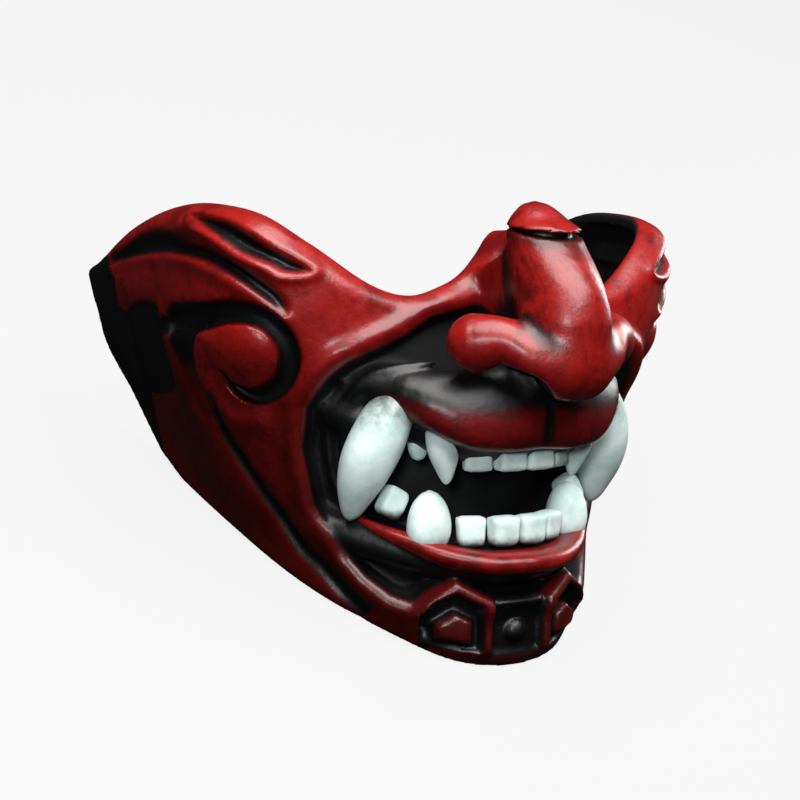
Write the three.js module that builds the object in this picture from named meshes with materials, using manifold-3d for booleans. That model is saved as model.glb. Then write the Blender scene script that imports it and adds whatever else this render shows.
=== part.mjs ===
// A samurai's red lacquered half mask: a thin rigid shell from the nose down to the chin, with an open
// snarling mouth, ivory tusks, canines, cutting teeth and molars.
//
// The mask is first worked out upright, as it is worn: +X to its left cheek's side, +Y from the face
// towards the ears and +Z up, with x = 0 the plane of symmetry. It is then leaned back so that the plane
// rim under its jaw lies on the ground, where the mask stands by itself.
import * as THREE from 'three';
import { mergeVertices } from 'three/addons/utils/BufferGeometryUtils.js';
import Module from 'manifold-3d';

// ---------------------------------------------------------------- driving dimensions, in millimetres

const wall = 4;
const toothGap = 0.35;
const leanBack = THREE.MathUtils.degToRad(30);
const chinTip = new THREE.Vector3(0, -57.4, -101.3);
const restSetback = 2.6;
const groundSize = 400;

// Level curves of the shell: height, half width, depth where the cheek turns forward, depth of the
// front and squareness of the curve between them.
const levels = [
  [-110, 8, -55, -55.6, 2.0],
  [-103, 12, -53, -56.5, 2.0],
  [-98, 23, -47, -58.8, 2.0],
  [-93, 31.5, -38, -60, 2.0],
  [-85, 42, -24, -60, 2.0],
  [-76, 52, -10, -59.5, 1.8],
  [-60, 62.5, 6, -58, 1.75],
  [-46, 69.5, 12, -57, 1.9],
  [-32, 74, 14, -55.5, 2.1],
  [-20, 77.5, 18, -54, 2.4],
  [-10, 81.5, 22, -53, 2.9],
  [0, 85, 25, -52, 3.5],
  [20, 87, 25, -50, 4.4],
  [40, 87, 26, -48, 4.4],
];

// The shell is unrolled about an upright axis: a place on it is a length round that axis and a height.
const axisDepth = 40;
const unrollRadius = 88;

// Upper edge: length round the shell and height, from the nose to the tip of the wing.
const upperEdge = [
  [0, 37], [8, 28], [14, 22], [21, 17.5], [32, 14.2], [44, 18], [60, 30], [74, 38.8], [94, 42], [112, 41],
  [130, 37], [147, 31], [168, 22],
];
const wingTipLength = 163;

// How far the upper edge rolls over, by length round the shell.
const edgeRoll = [[0, 3.5], [24, 4], [44, 6], [62, 9], [84, 10], [104, 9], [124, 6], [142, 4.5], [168, 4]];

// Lower edge: depth and height, along the jaw and then up the back of the wing.
const lowerEdge = [[-57.4, -104.5], [30, -54], [42, -39], [51, -22], [58, -7], [61, 6], [69, 23]];

// Raised forms of the shell's outside: the ring round the mouth and the bead of the cheek's scroll.
const mouthRing = { halfLength: 53, middle: -36, halfHeight: 36, meanRadius: 44, width: 6, raised: 3.5 };
const scrollBead = { length: 78, height: -4, radius: 12, raised: 3 };
const reliefFade = 12;

// Facets: columns on each half of the shell, rows up it and how they crowd towards its upper edge.
const columns = 26;
const rows = 14;
const rowCrowding = 1.3;
const barSteps = 16;
const barCurveSegments = 4;
const ballSegments = [12, 8];
const toothCorners = 12;
const noseCorners = 20;

// Nose: height, half width, depth of its front and of its back, from the brow cap down to under the tip.
const noseSections = [
  [44, 6, -72, -60], [41, 9.8, -76.5, -57], [36, 12, -81, -53], [30, 12.6, -84, -50], [17, 13.4, -93, -48],
  [8, 14.5, -96.6, -48], [1, 15.6, -98, -48], [-5, 15.6, -97.8, -48], [-10, 14, -96, -48],
  [-14, 11, -92.5, -48], [-17, 8, -84, -48],
];
const noseSquareness = 2.3;
const noseHollow = [[-5, 8, -77, -40], [4, 11, -82, -40], [14, 9.8, -80, -40], [26, 6.5, -73, -40]];
const nostrilWing = { x: 23, y: -72, z: 0.5, across: 10, deep: 11.5, high: 9.6 };
const nostril = { x: 14.5, y: -80, z: -14, across: 7.5, deep: 8, high: 7.5 };

// Mouth: outline of the opening from the front, then the lips and gums as bars along curves.
const mouthOutline = [[0, -33], [22, -33], [34, -24], [44, -14], [47, -32], [44, -54], [30, -62], [0, -66]];

// The mouth is a hollow with a back to it: the outline of its walls from the front, and depths below the
// shell's outside of where they start, of the hollow's floor, and of a place well behind it.
const mouthHollow = {
  rim: [[0, -29.5], [24, -29.5], [34, -20.5], [44, -10], [50.5, -32], [46.5, -56.5], [31, -65.5], [0, -69.5]],
  start: 1,
  depth: 16,
  back: 19,
  beyond: 40,
};
const prismDepth = 90;
const upperLip = {
  thick: 6.2,
  path: [[50, -36, -4], [44, -48, -8], [34, -59, -18], [23, -65.5, -25.5], [9, -69, -27]],
};
const lowerLip = {
  thick: 4.6,
  path: [[50, -27, -52], [42, -36, -57], [30.5, -48.5, -64], [19, -58.5, -69.5], [7, -65, -71.5]],
};
const upperGum = {
  thick: 7,
  path: [[51, -31, -20], [42.5, -38, -24], [32, -46, -28], [20, -55, -30], [7, -60, -30]],
};
const lowerGum = {
  thick: 6,
  path: [[50, -21, -57], [41, -32, -60], [30, -43.5, -64], [18, -53, -66.5], [6, -57.5, -67]],
};

// Chin: two six-sided frames with a stud in each, and a stud between them.
const chinFrame = { x: 20.5, y: -51, z: -86, turn: 0.42, outer: 12.5, inner: 7.6, deep: 7.5, stud: 4.6 };
const chinStud = { y: -61, z: -88, radius: 4.8 };

// Teeth: sections from root to tip as height, x, y, half width and half depth, on the mask's left side.
const tusk = [
  [-14, 38.4, -48.8, 5.2, 5.2], [-19, 39.8, -48, 8, 8], [-26, 42, -46.2, 9.2, 9.2],
  [-34, 44, -43.8, 9.4, 9.4], [-42, 45.4, -41, 7.8, 7.8], [-49, 46.2, -38.2, 5.2, 5.2],
  [-55, 46.6, -36, 1.6, 1.6],
];
const upperCanine = [
  [-24, 27, -54, 3.4, 3.2], [-30, 27, -55, 4.6, 4.2], [-36, 26.6, -55.6, 4.2, 3.8], [-44, 25, -55, 0.9, 0.9],
];
const lowerCanine = [
  [-68, 26.4, -48.4, 4, 3.6], [-62.5, 26.4, -49, 6.6, 5.6], [-56, 26.4, -49.4, 6.8, 5.8],
  [-50, 26.4, -49.4, 5.2, 4.4], [-46.8, 26.2, -49.2, 2, 1.8],
];
const upperMolar = [[-27, 30, -45, 2.6, 2.6], [-31, 30, -45, 2.8, 2.8], [-35.5, 29.8, -45, 2, 2]];
const lowerMolar = [
  [-62, 34.8, -40.6, 3.6, 3.2], [-55, 34.8, -40.6, 4.2, 3.6], [-46.5, 34.6, -40.6, 3.6, 2.8],
];
const roundTooth = 2;
const molarSquareness = { upper: 2.6, lower: 3 };
const incisorShape = {
  depth: 3.3,
  squareness: 4,
  root: { width: 0.86, depth: 0.9 },
  shoulder: 0.85,
  tip: { width: 0.9, depth: 0.55 },
};
const upperIncisors = { root: -27, tip: -40.7, places: [[5.9, -62.6, 5.3], [16.2, -59.6, 4.5]] };
const lowerIncisors = { root: -66, tip: -52.8, places: [[5.3, -59.2, 4.8], [15.2, -57, 4.6]] };

// ---------------------------------------------------------------- materials

const lacquerRed = new THREE.MeshStandardMaterial({ color: 0xb01c14, roughness: 0.35, metalness: 0 });
const toothWhite = new THREE.MeshStandardMaterial({ color: 0xdde6dc, roughness: 0.4, metalness: 0 });

// ---------------------------------------------------------------- joining and cutting

const wasm = await Module();
wasm.setup();

function toSolid(geometry) {
  const bare = geometry.clone();
  bare.deleteAttribute('normal');
  bare.deleteAttribute('uv');
  const merged = mergeVertices(bare, 1e-4);
  const vertProperties = new Float32Array(merged.attributes.position.array);
  const triVerts = new Uint32Array(merged.index.array);
  return new wasm.Manifold(new wasm.Mesh({ numProp: 3, vertProperties, triVerts }));
}

function toGeometry(solid) {
  const mesh = solid.getMesh();
  const geometry = new THREE.BufferGeometry();
  geometry.setAttribute('position', new THREE.BufferAttribute(new Float32Array(mesh.vertProperties), 3));
  geometry.setIndex(new THREE.BufferAttribute(new Uint32Array(mesh.triVerts), 1));
  return geometry;
}

// ---------------------------------------------------------------- curves and surfaces

// A smooth curve through rows of numbers, the first of which is where each row lies.
function along(table, at, item) {
  const last = table.length - 1;
  let i = 0;
  while (i < last - 1 && table[i + 1][0] < at) i += 1;
  const slope = (k) => {
    const before = Math.max(k - 1, 0);
    const after = Math.min(k + 1, last);
    return (table[after][item] - table[before][item]) / (table[after][0] - table[before][0]);
  };
  const span = table[i + 1][0] - table[i][0];
  const t = THREE.MathUtils.clamp((at - table[i][0]) / span, 0, 1);
  const bend = t * t * (3 - 2 * t);
  const leave = t * (1 - t) * (1 - t) * slope(i) * span;
  const arrive = t * t * (t - 1) * slope(i + 1) * span;
  return table[i][item] + bend * (table[i + 1][item] - table[i][item]) + leave + arrive;
}

const searchReach = 200;
const searchSteps = 30;
const leastFacing = 0.45;

// How far from the upright axis the shell's outside is, at an angle round it and a height.
function shellRadius(angle, height) {
  const atHeight = (item) => along(levels, height, item);
  const [halfWidth, turnDepth, frontDepth, squareness] = [1, 2, 3, 4].map(atHeight);
  const isInside = (radius) => {
    const across = radius * Math.sin(angle) / halfWidth;
    const forward = Math.max(turnDepth - axisDepth + radius * Math.cos(angle), 0) / (turnDepth - frontDepth);
    return Math.abs(across) ** squareness + forward ** squareness < 1;
  };
  let near = 0;
  let far = searchReach;
  for (let step = 0; step < searchSteps; step += 1) {
    const middle = (near + far) / 2;
    if (isInside(middle)) near = middle;
    else far = middle;
  }
  return near;
}

function shellPoint(length, height, inset) {
  const place = (l, h, shorter) => {
    const angle = l / unrollRadius;
    const radius = shellRadius(angle, h) - shorter;
    return new THREE.Vector3(radius * Math.sin(angle), axisDepth - radius * Math.cos(angle), h);
  };
  if (inset === 0) return place(length, height, 0);
  const round = place(length + 1, height, 0).sub(place(length - 1, height, 0));
  const upward = place(length, height + 1, 0).sub(place(length, height - 1, 0));
  const angle = length / unrollRadius;
  const outward = new THREE.Vector3(Math.sin(angle), -Math.cos(angle), 0);
  const facing = Math.max(round.cross(upward).normalize().dot(outward), leastFacing);
  return place(length, height, inset / facing);
}

// The height at which the shell crosses its lower edge.
function lowerHeight(length, inset) {
  let low = levels[0][0];
  let high = levels[levels.length - 1][0];
  for (let step = 0; step < searchSteps; step += 1) {
    const middle = (low + high) / 2;
    const depth = shellPoint(length, middle, inset).y;
    const k = Math.max(lowerEdge.findIndex((corner) => corner[0] > depth), 1);
    const [from, to] = [lowerEdge[k - 1], lowerEdge[k]];
    const edge = from[1] + (to[1] - from[1]) * (depth - from[0]) / (to[0] - from[0]);
    if (depth < lowerEdge[lowerEdge.length - 1][0] && middle > edge) high = middle;
    else low = middle;
  }
  return (low + high) / 2;
}

function relief(length, height) {
  const upward = (height - mouthRing.middle) / mouthRing.halfHeight;
  const ring = Math.hypot(length / mouthRing.halfLength, upward) - 1;
  const fromRing = ring * mouthRing.meanRadius / mouthRing.width;
  const fromBead = Math.hypot(length - scrollBead.length, height - scrollBead.height) / scrollBead.radius;
  return mouthRing.raised * Math.exp(-(fromRing ** 2)) + scrollBead.raised * Math.exp(-(fromBead ** 2));
}

// The layer of the shell between two depths below its outside. The outside itself carries the relief.
function shellGeometry(outerInset, innerInset) {
  const positions = [];
  const index = [];
  const stride = rows + 1;
  const layer = (2 * columns + 1) * stride;
  for (const inset of [outerInset, innerInset]) {
    for (let column = -columns; column <= columns; column += 1) {
      const length = wingTipLength * Math.abs(column) / columns;
      const radius = along(edgeRoll, length, 1);
      const bottom = lowerHeight(length, inset);
      const top = along(upperEdge, length, 1);
      for (let row = 0; row <= rows; row += 1) {
        const height = THREE.MathUtils.lerp(bottom, top, 1 - (1 - row / rows) ** rowCrowding);
        const below = Math.min(top - height, radius);
        const roll = radius - Math.sqrt(radius ** 2 - (radius - below) ** 2);
        const raised = inset > 0 ? 0 : relief(length, height) * Math.min((top - height) / reliefFade, 1);
        const point = shellPoint(length, height, inset + roll - raised);
        positions.push(Math.sign(column) * point.x, point.y, point.z);
      }
    }
  }
  const quad = (a, b, c, d) => index.push(a, b, c, a, c, d);
  const at = (column, row, isInner) => (isInner ? layer : 0) + column * stride + row;
  for (let column = 0; column < 2 * columns; column += 1) {
    for (let row = 0; row < rows; row += 1) {
      quad(at(column, row), at(column + 1, row), at(column + 1, row + 1), at(column, row + 1));
      const [below, above] = [at(column, row, true), at(column, row + 1, true)];
      quad(below, above, at(column + 1, row + 1, true), at(column + 1, row, true));
    }
    quad(at(column, 0), at(column, 0, true), at(column + 1, 0, true), at(column + 1, 0));
    quad(at(column, rows), at(column + 1, rows), at(column + 1, rows, true), at(column, rows, true));
  }
  for (let row = 0; row < rows; row += 1) {
    const right = 2 * columns;
    quad(at(0, row), at(0, row + 1), at(0, row + 1, true), at(0, row, true));
    quad(at(right, row), at(right, row, true), at(right, row + 1, true), at(right, row + 1));
  }
  const geometry = new THREE.BufferGeometry();
  geometry.setAttribute('position', new THREE.Float32BufferAttribute(positions, 3));
  geometry.setIndex(index);
  return geometry;
}

// A closed body through level sections, each with its corners on a rounded outline.
function loft(sections, corners, squareness) {
  const positions = [];
  const index = [];
  const turned = sections[0].height < sections[sections.length - 1].height;
  for (const { height, x, y, halfWidth, halfDepth } of sections) {
    for (let k = 0; k < corners; k += 1) {
      const angle = (turned ? 1 : -1) * 2 * Math.PI * (k + 0.5) / corners;
      const [c, s] = [Math.cos(angle), Math.sin(angle)];
      const reach = (Math.abs(c) ** squareness + Math.abs(s) ** squareness) ** (-1 / squareness);
      positions.push(x + halfWidth * reach * c, y + halfDepth * reach * s, height);
    }
  }
  for (const end of [sections[0], sections[sections.length - 1]]) {
    positions.push(end.x, end.y, end.height);
  }
  const count = sections.length;
  for (let k = 0; k < corners; k += 1) {
    const next = (k + 1) % corners;
    for (let level = 0; level < count - 1; level += 1) {
      const [a, b] = [level * corners, (level + 1) * corners];
      index.push(a + k, a + next, b + next, a + k, b + next, b + k);
    }
    index.push(count * corners, next, k);
    index.push(count * corners + 1, (count - 1) * corners + k, (count - 1) * corners + next);
  }
  const geometry = new THREE.BufferGeometry();
  geometry.setAttribute('position', new THREE.Float32BufferAttribute(positions, 3));
  geometry.setIndex(index);
  return geometry;
}

// A round bar along a curve that is the same on both sides of the mask.
function mirroredBar({ thick, path }) {
  const right = path.map(([x, y, z]) => new THREE.Vector3(-x, y, z));
  const left = path.map(([x, y, z]) => new THREE.Vector3(x, y, z)).reverse();
  const section = new THREE.Shape().absarc(0, 0, thick, 0, 2 * Math.PI);
  const curve = new THREE.CatmullRomCurve3([...right, ...left]);
  return toSolid(new THREE.ExtrudeGeometry(section, {
    steps: barSteps,
    extrudePath: curve,
    curveSegments: barCurveSegments,
  }));
}

function ball({ x, y, z, across, deep, high }, side) {
  const sphere = new THREE.SphereGeometry(1, ...ballSegments);
  return toSolid(sphere.scale(across, deep, high).translate(side * x, y, z));
}

// ---------------------------------------------------------------- teeth

const toothSolids = new Map();
const facetAllowance = 1.25;

function addTooth(name, rowsOfTooth, side, squareness) {
  const sections = rowsOfTooth.map(([height, x, y, halfWidth, halfDepth]) => (
    { height, x: side * x, y, halfWidth, halfDepth }));
  const widen = (section, end) => ({
    ...section,
    height: section.height + end * toothGap,
    halfWidth: section.halfWidth + toothGap * facetAllowance,
    halfDepth: section.halfDepth + toothGap * facetAllowance,
  });
  const rising = Math.sign(sections[sections.length - 1].height - sections[0].height);
  const socket = sections.map((section, k) => {
    if (k === 0) return widen(section, -rising);
    return widen(section, k === sections.length - 1 ? rising : 0);
  });
  toothSolids.set(name, {
    body: toSolid(loft(sections, toothCorners, squareness)),
    socket: toSolid(loft(socket, toothCorners, squareness)),
  });
}

function cuttingTooth({ root, tip }, [x, y, halfWidth]) {
  const { depth, root: rootShare, shoulder, tip: tipShare } = incisorShape;
  return [
    [root, x, y, halfWidth * rootShare.width, depth * rootShare.depth],
    [THREE.MathUtils.lerp(root, tip, shoulder), x, y, halfWidth, depth],
    [tip, x, y, halfWidth * tipShare.width, depth * tipShare.depth],
  ];
}

for (const [sideName, side] of [['right', -1], ['left', 1]]) {
  addTooth(`tusk_${sideName}`, tusk, side, roundTooth);
  addTooth(`upper_canine_${sideName}`, upperCanine, side, roundTooth);
  addTooth(`lower_canine_${sideName}`, lowerCanine, side, roundTooth);
  addTooth(`upper_molar_${sideName}`, upperMolar, side, molarSquareness.upper);
  addTooth(`lower_molar_${sideName}`, lowerMolar, side, molarSquareness.lower);
}
for (const [rowName, row] of [['upper', upperIncisors], ['lower', lowerIncisors]]) {
  const [inner, outer] = row.places;
  const order = [[outer, -1], [inner, -1], [inner, 1], [outer, 1]];
  order.forEach(([place, side], k) => {
    addTooth(`${rowName}_incisor_${k + 1}`, cuttingTooth(row, place), side, incisorShape.squareness);
  });
}

// ---------------------------------------------------------------- shell with nose, lips, gums and chin

function noseLoft(table) {
  const sections = table.map(([height, halfWidth, front, back]) => (
    { height, x: 0, y: (back + front) / 2, halfWidth, halfDepth: (back - front) / 2 }));
  return toSolid(loft(sections, noseCorners, noseSquareness));
}

function noseSolid() {
  let nose = noseLoft(noseSections);
  for (const side of [-1, 1]) nose = nose.add(ball(nostrilWing, side));
  for (const side of [-1, 1]) nose = nose.subtract(ball(nostril, side));
  return nose;
}

// What lies inside an outline seen from the front, given for the mask's left side.
function mouthPrism(outline) {
  const right = outline.slice(1, -1).reverse().map(([x, z]) => [-x, z]);
  const shape = new THREE.Shape([...outline, ...right].map(([x, z]) => new THREE.Vector2(x, z)));
  const geometry = new THREE.ExtrudeGeometry(shape, { depth: prismDepth, bevelEnabled: false });
  return toSolid(geometry.rotateX(Math.PI / 2));
}

function chinFrameSolid(side) {
  const corners = [0, 1, 2, 3, 4, 5];
  const corner = (k, size) => {
    const angle = Math.PI * k / (corners.length / 2);
    return new THREE.Vector2(size * Math.cos(angle), size * Math.sin(angle));
  };
  const frame = new THREE.Shape(corners.map((k) => corner(k, chinFrame.outer)));
  frame.holes.push(new THREE.Path([...corners].reverse().map((k) => corner(k, chinFrame.inner))));
  const geometry = new THREE.ExtrudeGeometry(frame, { depth: chinFrame.deep, bevelEnabled: false });
  geometry.rotateX(Math.PI / 2).rotateZ(side * chinFrame.turn);
  geometry.translate(side * chinFrame.x, chinFrame.y, chinFrame.z);
  const stud = new THREE.SphereGeometry(chinFrame.stud, ...ballSegments);
  stud.translate(side * chinFrame.x, chinFrame.y - chinFrame.stud, chinFrame.z);
  return toSolid(geometry).add(toSolid(stud));
}

function groundCutter() {
  const block = new THREE.BoxGeometry(groundSize, groundSize, groundSize).translate(0, 0, -groundSize / 2);
  block.rotateX(leanBack).translate(chinTip.x, chinTip.y, chinTip.z);
  return toSolid(block);
}

function faceShell() {
  const { rim, start, depth, back, beyond } = mouthHollow;
  const mouthWalls = toSolid(shellGeometry(start, back)).intersect(mouthPrism(rim));
  const mouthSpace = mouthPrism(mouthOutline).subtract(toSolid(shellGeometry(depth, beyond)));
  let shell = toSolid(shellGeometry(0, wall)).add(mouthWalls).subtract(mouthSpace);
  for (const bar of [upperLip, lowerLip, upperGum, lowerGum]) shell = shell.add(mirroredBar(bar));
  shell = shell.add(noseSolid()).subtract(noseLoft(noseHollow));
  for (const side of [-1, 1]) shell = shell.add(chinFrameSolid(side));
  const stud = new THREE.SphereGeometry(chinStud.radius, ...ballSegments);
  shell = shell.add(toSolid(stud.translate(0, chinStud.y, chinStud.z)));
  for (const { socket } of toothSolids.values()) shell = shell.subtract(socket);
  return shell.subtract(groundCutter());
}

// ---------------------------------------------------------------- the mask, standing on its jaw

const mask = new THREE.Group();

function addPiece(name, solid, material) {
  const geometry = toGeometry(solid);
  geometry.translate(-chinTip.x, -chinTip.y, -chinTip.z).rotateX(-leanBack).translate(0, -restSetback, 0);
  const mesh = new THREE.Mesh(geometry, material);
  mesh.name = name;
  mask.add(mesh);
}

addPiece('face_shell', faceShell(), lacquerRed);
for (const [name, { body }] of toothSolids) addPiece(name, body, toothWhite);

export default mask;
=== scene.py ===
import math
import bpy
import numpy as np
from mathutils import Matrix, Vector


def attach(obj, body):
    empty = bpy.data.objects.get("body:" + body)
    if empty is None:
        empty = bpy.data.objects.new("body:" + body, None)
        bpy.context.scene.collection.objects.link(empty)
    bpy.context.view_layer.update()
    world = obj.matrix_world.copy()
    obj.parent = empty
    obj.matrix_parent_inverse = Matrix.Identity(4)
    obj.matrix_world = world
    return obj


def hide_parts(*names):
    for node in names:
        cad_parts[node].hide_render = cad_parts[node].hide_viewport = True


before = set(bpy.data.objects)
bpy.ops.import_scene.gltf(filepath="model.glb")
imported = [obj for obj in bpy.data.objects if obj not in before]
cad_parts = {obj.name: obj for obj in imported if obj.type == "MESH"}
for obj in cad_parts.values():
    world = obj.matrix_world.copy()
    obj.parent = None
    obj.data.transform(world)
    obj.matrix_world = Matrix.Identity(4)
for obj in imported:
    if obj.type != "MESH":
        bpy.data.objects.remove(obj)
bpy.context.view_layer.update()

# The mask is worked out upright, as it is worn, in millimetres: x to its left cheek, y towards the ears,
# z up. It then leans back so that the plane rim under its jaw lies on the ground.
pose = {
    "leanBack": 30,
    "chinTip": (0, -57.4, -101.3),
    "restSetback": 2.6,
    "axisDepth": 40,    # upright axis about which the shell is unrolled
    "unrollRadius": 88,
}
cell = 0.8    # size of the cells that the shell is carved in
farAway, tiny = 1e6, 1e-9    # a distance to start from, and what keeps a division from zero


def toGround(points):
    lean = math.radians(pose["leanBack"])
    x, y, z = (np.asarray(points, float) - pose["chinTip"]).T
    forward = y * math.cos(lean) + z * math.sin(lean) - pose["restSetback"]
    upward = -y * math.sin(lean) + z * math.cos(lean)
    return np.stack([x, forward, upward], -1) / 1000


# ---- working with distances

def smooth(low, high, values):
    t = np.clip((values - low) / (high - low), 0, 1)
    return t * t * (3 - 2 * t)


def join(a, b, blend):
    near = np.clip(blend - np.abs(a - b), 0, None)
    return np.minimum(a, b) - near * near / (4 * blend)


def cut(a, b, blend):
    return -join(-a, b, blend)


def meet(a, b, radius):    # where both are solid, with the edge between them rounded
    corner = np.sqrt(np.maximum(radius + a, 0) ** 2 + np.maximum(radius + b, 0) ** 2)
    return np.minimum(-radius, np.maximum(a, b)) + corner


def through(table, at):    # smooth curves through rows that start with where each row lies
    table = np.asarray(table, float)
    places = table[:, 0]
    at = np.clip(at, places[0], places[-1])
    slopes = np.empty_like(table)
    slopes[1:-1] = (table[2:] - table[:-2]) / (places[2:] - places[:-2])[:, None]
    slopes[0] = (table[1] - table[0]) / (places[1] - places[0])
    slopes[-1] = (table[-1] - table[-2]) / (places[-1] - places[-2])
    i = np.clip(np.searchsorted(places, at, side="right") - 1, 0, len(places) - 2)
    span = (places[i + 1] - places[i])[..., None]
    t = (at[..., None] - places[i][..., None]) / span
    value = table[i] + t * t * (3 - 2 * t) * (table[i + 1] - table[i])
    value = value + t * (1 - t) ** 2 * slopes[i] * span + t * t * (t - 1) * slopes[i + 1] * span
    return [value[..., k] for k in range(1, table.shape[1])]


def curve(points, steps=8, closed=False):    # a smooth line through points
    points = np.asarray(points, float)
    if closed:
        points = np.concatenate([points[-1:], points, points[:2]])
    else:
        first, last = 2 * points[0] - points[1], 2 * points[-1] - points[-2]
        points = np.concatenate([[first], points, [last]])
    t = (np.arange(steps) / steps)[:, None]
    pieces = []
    for a, b, c, d in zip(points, points[1:], points[2:], points[3:]):
        pieces.append(0.5 * (2 * b + (c - a) * t + (2 * a - 5 * b + 4 * c - d) * t ** 2
                             + (3 * b - a - 3 * c + d) * t ** 3))
    if not closed:
        pieces.append(points[-2:-1])
    return np.concatenate(pieces)


# ---- the block of space that the shell is carved from: its right half, then mirrored

block = {"low": (0, -104, -108), "high": (94, 76, 50)}
xs = (np.arange(block["low"][0] + cell / 2, block["high"][0], cell)).astype(np.float32)
ys = (np.arange(block["low"][1], block["high"][1], cell)).astype(np.float32)
zs = (np.arange(block["low"][2], block["high"][2], cell)).astype(np.float32)
gx, gy, gz = xs[:, None, None], ys[None, :, None], zs[None, None, :]
lengthOf = np.arctan2(xs[:, None], pose["axisDepth"] - ys[None, :]) * pose["unrollRadius"]


def window(low, high):    # the part of the block around a small form
    bounds = []
    for values, a, b in zip((xs, ys, zs), low, high):
        bounds.append(slice(int(np.searchsorted(values, a)), int(np.searchsorted(values, b)) + 1))
    i, j, k = bounds
    return (i, j, k), gx[i], gy[:, j], gz[:, :, k]


def evened(level):    # turns a level function into a distance, by its own slope
    slope = np.gradient(level, cell)
    steepness = np.sqrt(slope[0] ** 2 + slope[1] ** 2 + slope[2] ** 2)
    return level / np.maximum(steepness, 0.004)


# ---- drawing on the unrolled shell: length round it by height

sheetStep = 0.5
sheetLengths = np.arange(-8, 190, sheetStep).astype(np.float32)
su, sz = sheetLengths[:, None], zs[None, :]


def stroke(points, widths=None):    # distance to a line, its side and the width there
    line = curve(points)
    wide = np.ones(len(line)) if widths is None else curve([[w, 0] for w in widths])[:, 0]
    nearest = np.full((len(sheetLengths), len(zs)), farAway, np.float32)
    side = np.ones_like(nearest)
    width = np.ones_like(nearest)
    for k in range(len(line) - 1):
        (u0, z0), (u1, z1) = line[k], line[k + 1]
        du, dz = u1 - u0, z1 - z0
        t = np.clip(((su - u0) * du + (sz - z0) * dz) / (du * du + dz * dz + tiny), 0, 1)
        away = (su - u0 - t * du) ** 2 + (sz - z0 - t * dz) ** 2
        closer = away < nearest
        nearest = np.where(closer, away, nearest)
        side = np.where(closer, np.sign(du * (sz - z0) - dz * (su - u0)), side)
        width = np.where(closer, wide[k] + t * (wide[k + 1] - wide[k]), width)
    return np.sqrt(nearest), side, width


def outlined(line, across, up):    # distance to a closed outline, negative inside
    nearest = np.full(np.broadcast_shapes(across.shape, up.shape), farAway, np.float32)
    inside = np.zeros(nearest.shape, bool)
    for (a0, b0), (a1, b1) in zip(line, np.roll(line, -1, axis=0)):
        da, db = a1 - a0, b1 - b0
        t = np.clip(((across - a0) * da + (up - b0) * db) / (da * da + db * db + tiny), 0, 1)
        nearest = np.minimum(nearest, (across - a0 - t * da) ** 2 + (up - b0 - t * db) ** 2)
        crosses = (b0 > up) != (b1 > up)
        inside ^= crosses & (across < a0 + da * (up - b0) / (db if db else tiny))
    return np.where(inside, -1, 1) * np.sqrt(nearest)


def region(points, rounded=True):    # an outline on the unrolled shell
    line = curve(points, steps=6, closed=True) if rounded else np.asarray(points, float)
    return outlined(line, su, sz)


def onShell(sheet):    # a drawing looked up at every place in the block
    place = (lengthOf - sheetLengths[0]) / sheetStep
    i = np.clip(place.astype(int), 0, len(sheetLengths) - 2)
    t = (place - i)[..., None].astype(np.float32)
    return sheet[i] * (1 - t) + sheet[i + 1] * t


def lowestNear(sheet, reach):    # the lowest value within a reach in length and height
    for axis, step in ((0, sheetStep), (1, cell)):
        lowest = sheet.copy()
        for shift in range(1, max(1, round(reach / step)) + 1):
            ahead = [slice(None), slice(None)]
            behind = [slice(None), slice(None)]
            ahead[axis], behind[axis] = slice(shift, None), slice(None, -shift)
            ahead, behind = tuple(ahead), tuple(behind)
            lowest[ahead] = np.minimum(lowest[ahead], sheet[behind])
            lowest[behind] = np.minimum(lowest[behind], sheet[ahead])
        sheet = lowest
    return sheet


# ---- the shell's own curve

shell = {
    "wall": 4,
    "thinnest": 3,    # wall left behind the deepest groove
    "grooveReach": 2.6,    # how far round a groove the wall behind it follows
    "insideBlend": 1.4,
    "rimBead": 1.1,
    "rimBlend": 0.7,
    # length round the shell and the radius of the rolled upper edge there
    "edgeRound": [(-10, 3.6), (20, 3.8), (40, 5), (62, 8), (84, 9.5), (104, 8.5), (124, 6), (142, 4.2),
                  (200, 3.6)],
    "edgeLip": 1.5,    # how much further the rolled edge comes inwards
    # height, half width, depth where the cheek turns forward, depth of the front, squareness
    "levels": [
        (-110, 8, -55, -55.6, 2.0), (-103, 12, -53, -56.5, 2.0), (-98, 23, -47, -58.8, 2.0),
        (-93, 31.5, -38, -60, 2.0), (-85, 42, -24, -60, 2.0), (-76, 52, -10, -59.5, 1.8),
        (-60, 62.5, 6, -58, 1.75), (-46, 69.5, 12, -57, 1.9), (-32, 74, 14, -55.5, 2.1),
        (-20, 77.5, 18, -54, 2.4), (-10, 81.5, 22, -53, 2.9), (0, 85, 25, -52, 3.5),
        (20, 87, 25, -50, 4.4), (50, 87, 26, -48, 4.4)],
    # length round the shell and height
    "upperEdge": [(-8, 34.5), (0, 34.5), (4, 32), (8, 27), (14, 21), (21, 17.2), (32, 14.2), (44, 18),
                  (60, 30), (74, 38.8), (94, 42), (112, 41), (130, 37), (147, 31), (168, 21), (190, 10)],
    # depth and height, seen from the side
    "lowerEdge": [(-110, -131.7), (34.3, -48.4), (43, -39.6), (52.4, -22.8), (59.4, -7.6), (62.4, 5.8),
                  (70.4, 22.5), (79, 60)],
}


def shellLevel():
    columns = through(shell["levels"], zs)
    halfWidth, turn, front, square = (column.astype(np.float32)[None, None] for column in columns)
    forward = np.maximum(turn - gy, 0) / (turn - front)
    level = ((gx / halfWidth) ** square + forward ** square) ** (1 / square) - 1
    return evened(level)


def aboveUpperEdge():
    distance, side, _ = stroke(shell["upperEdge"])
    return np.where(side > 0, distance, -distance)


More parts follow.
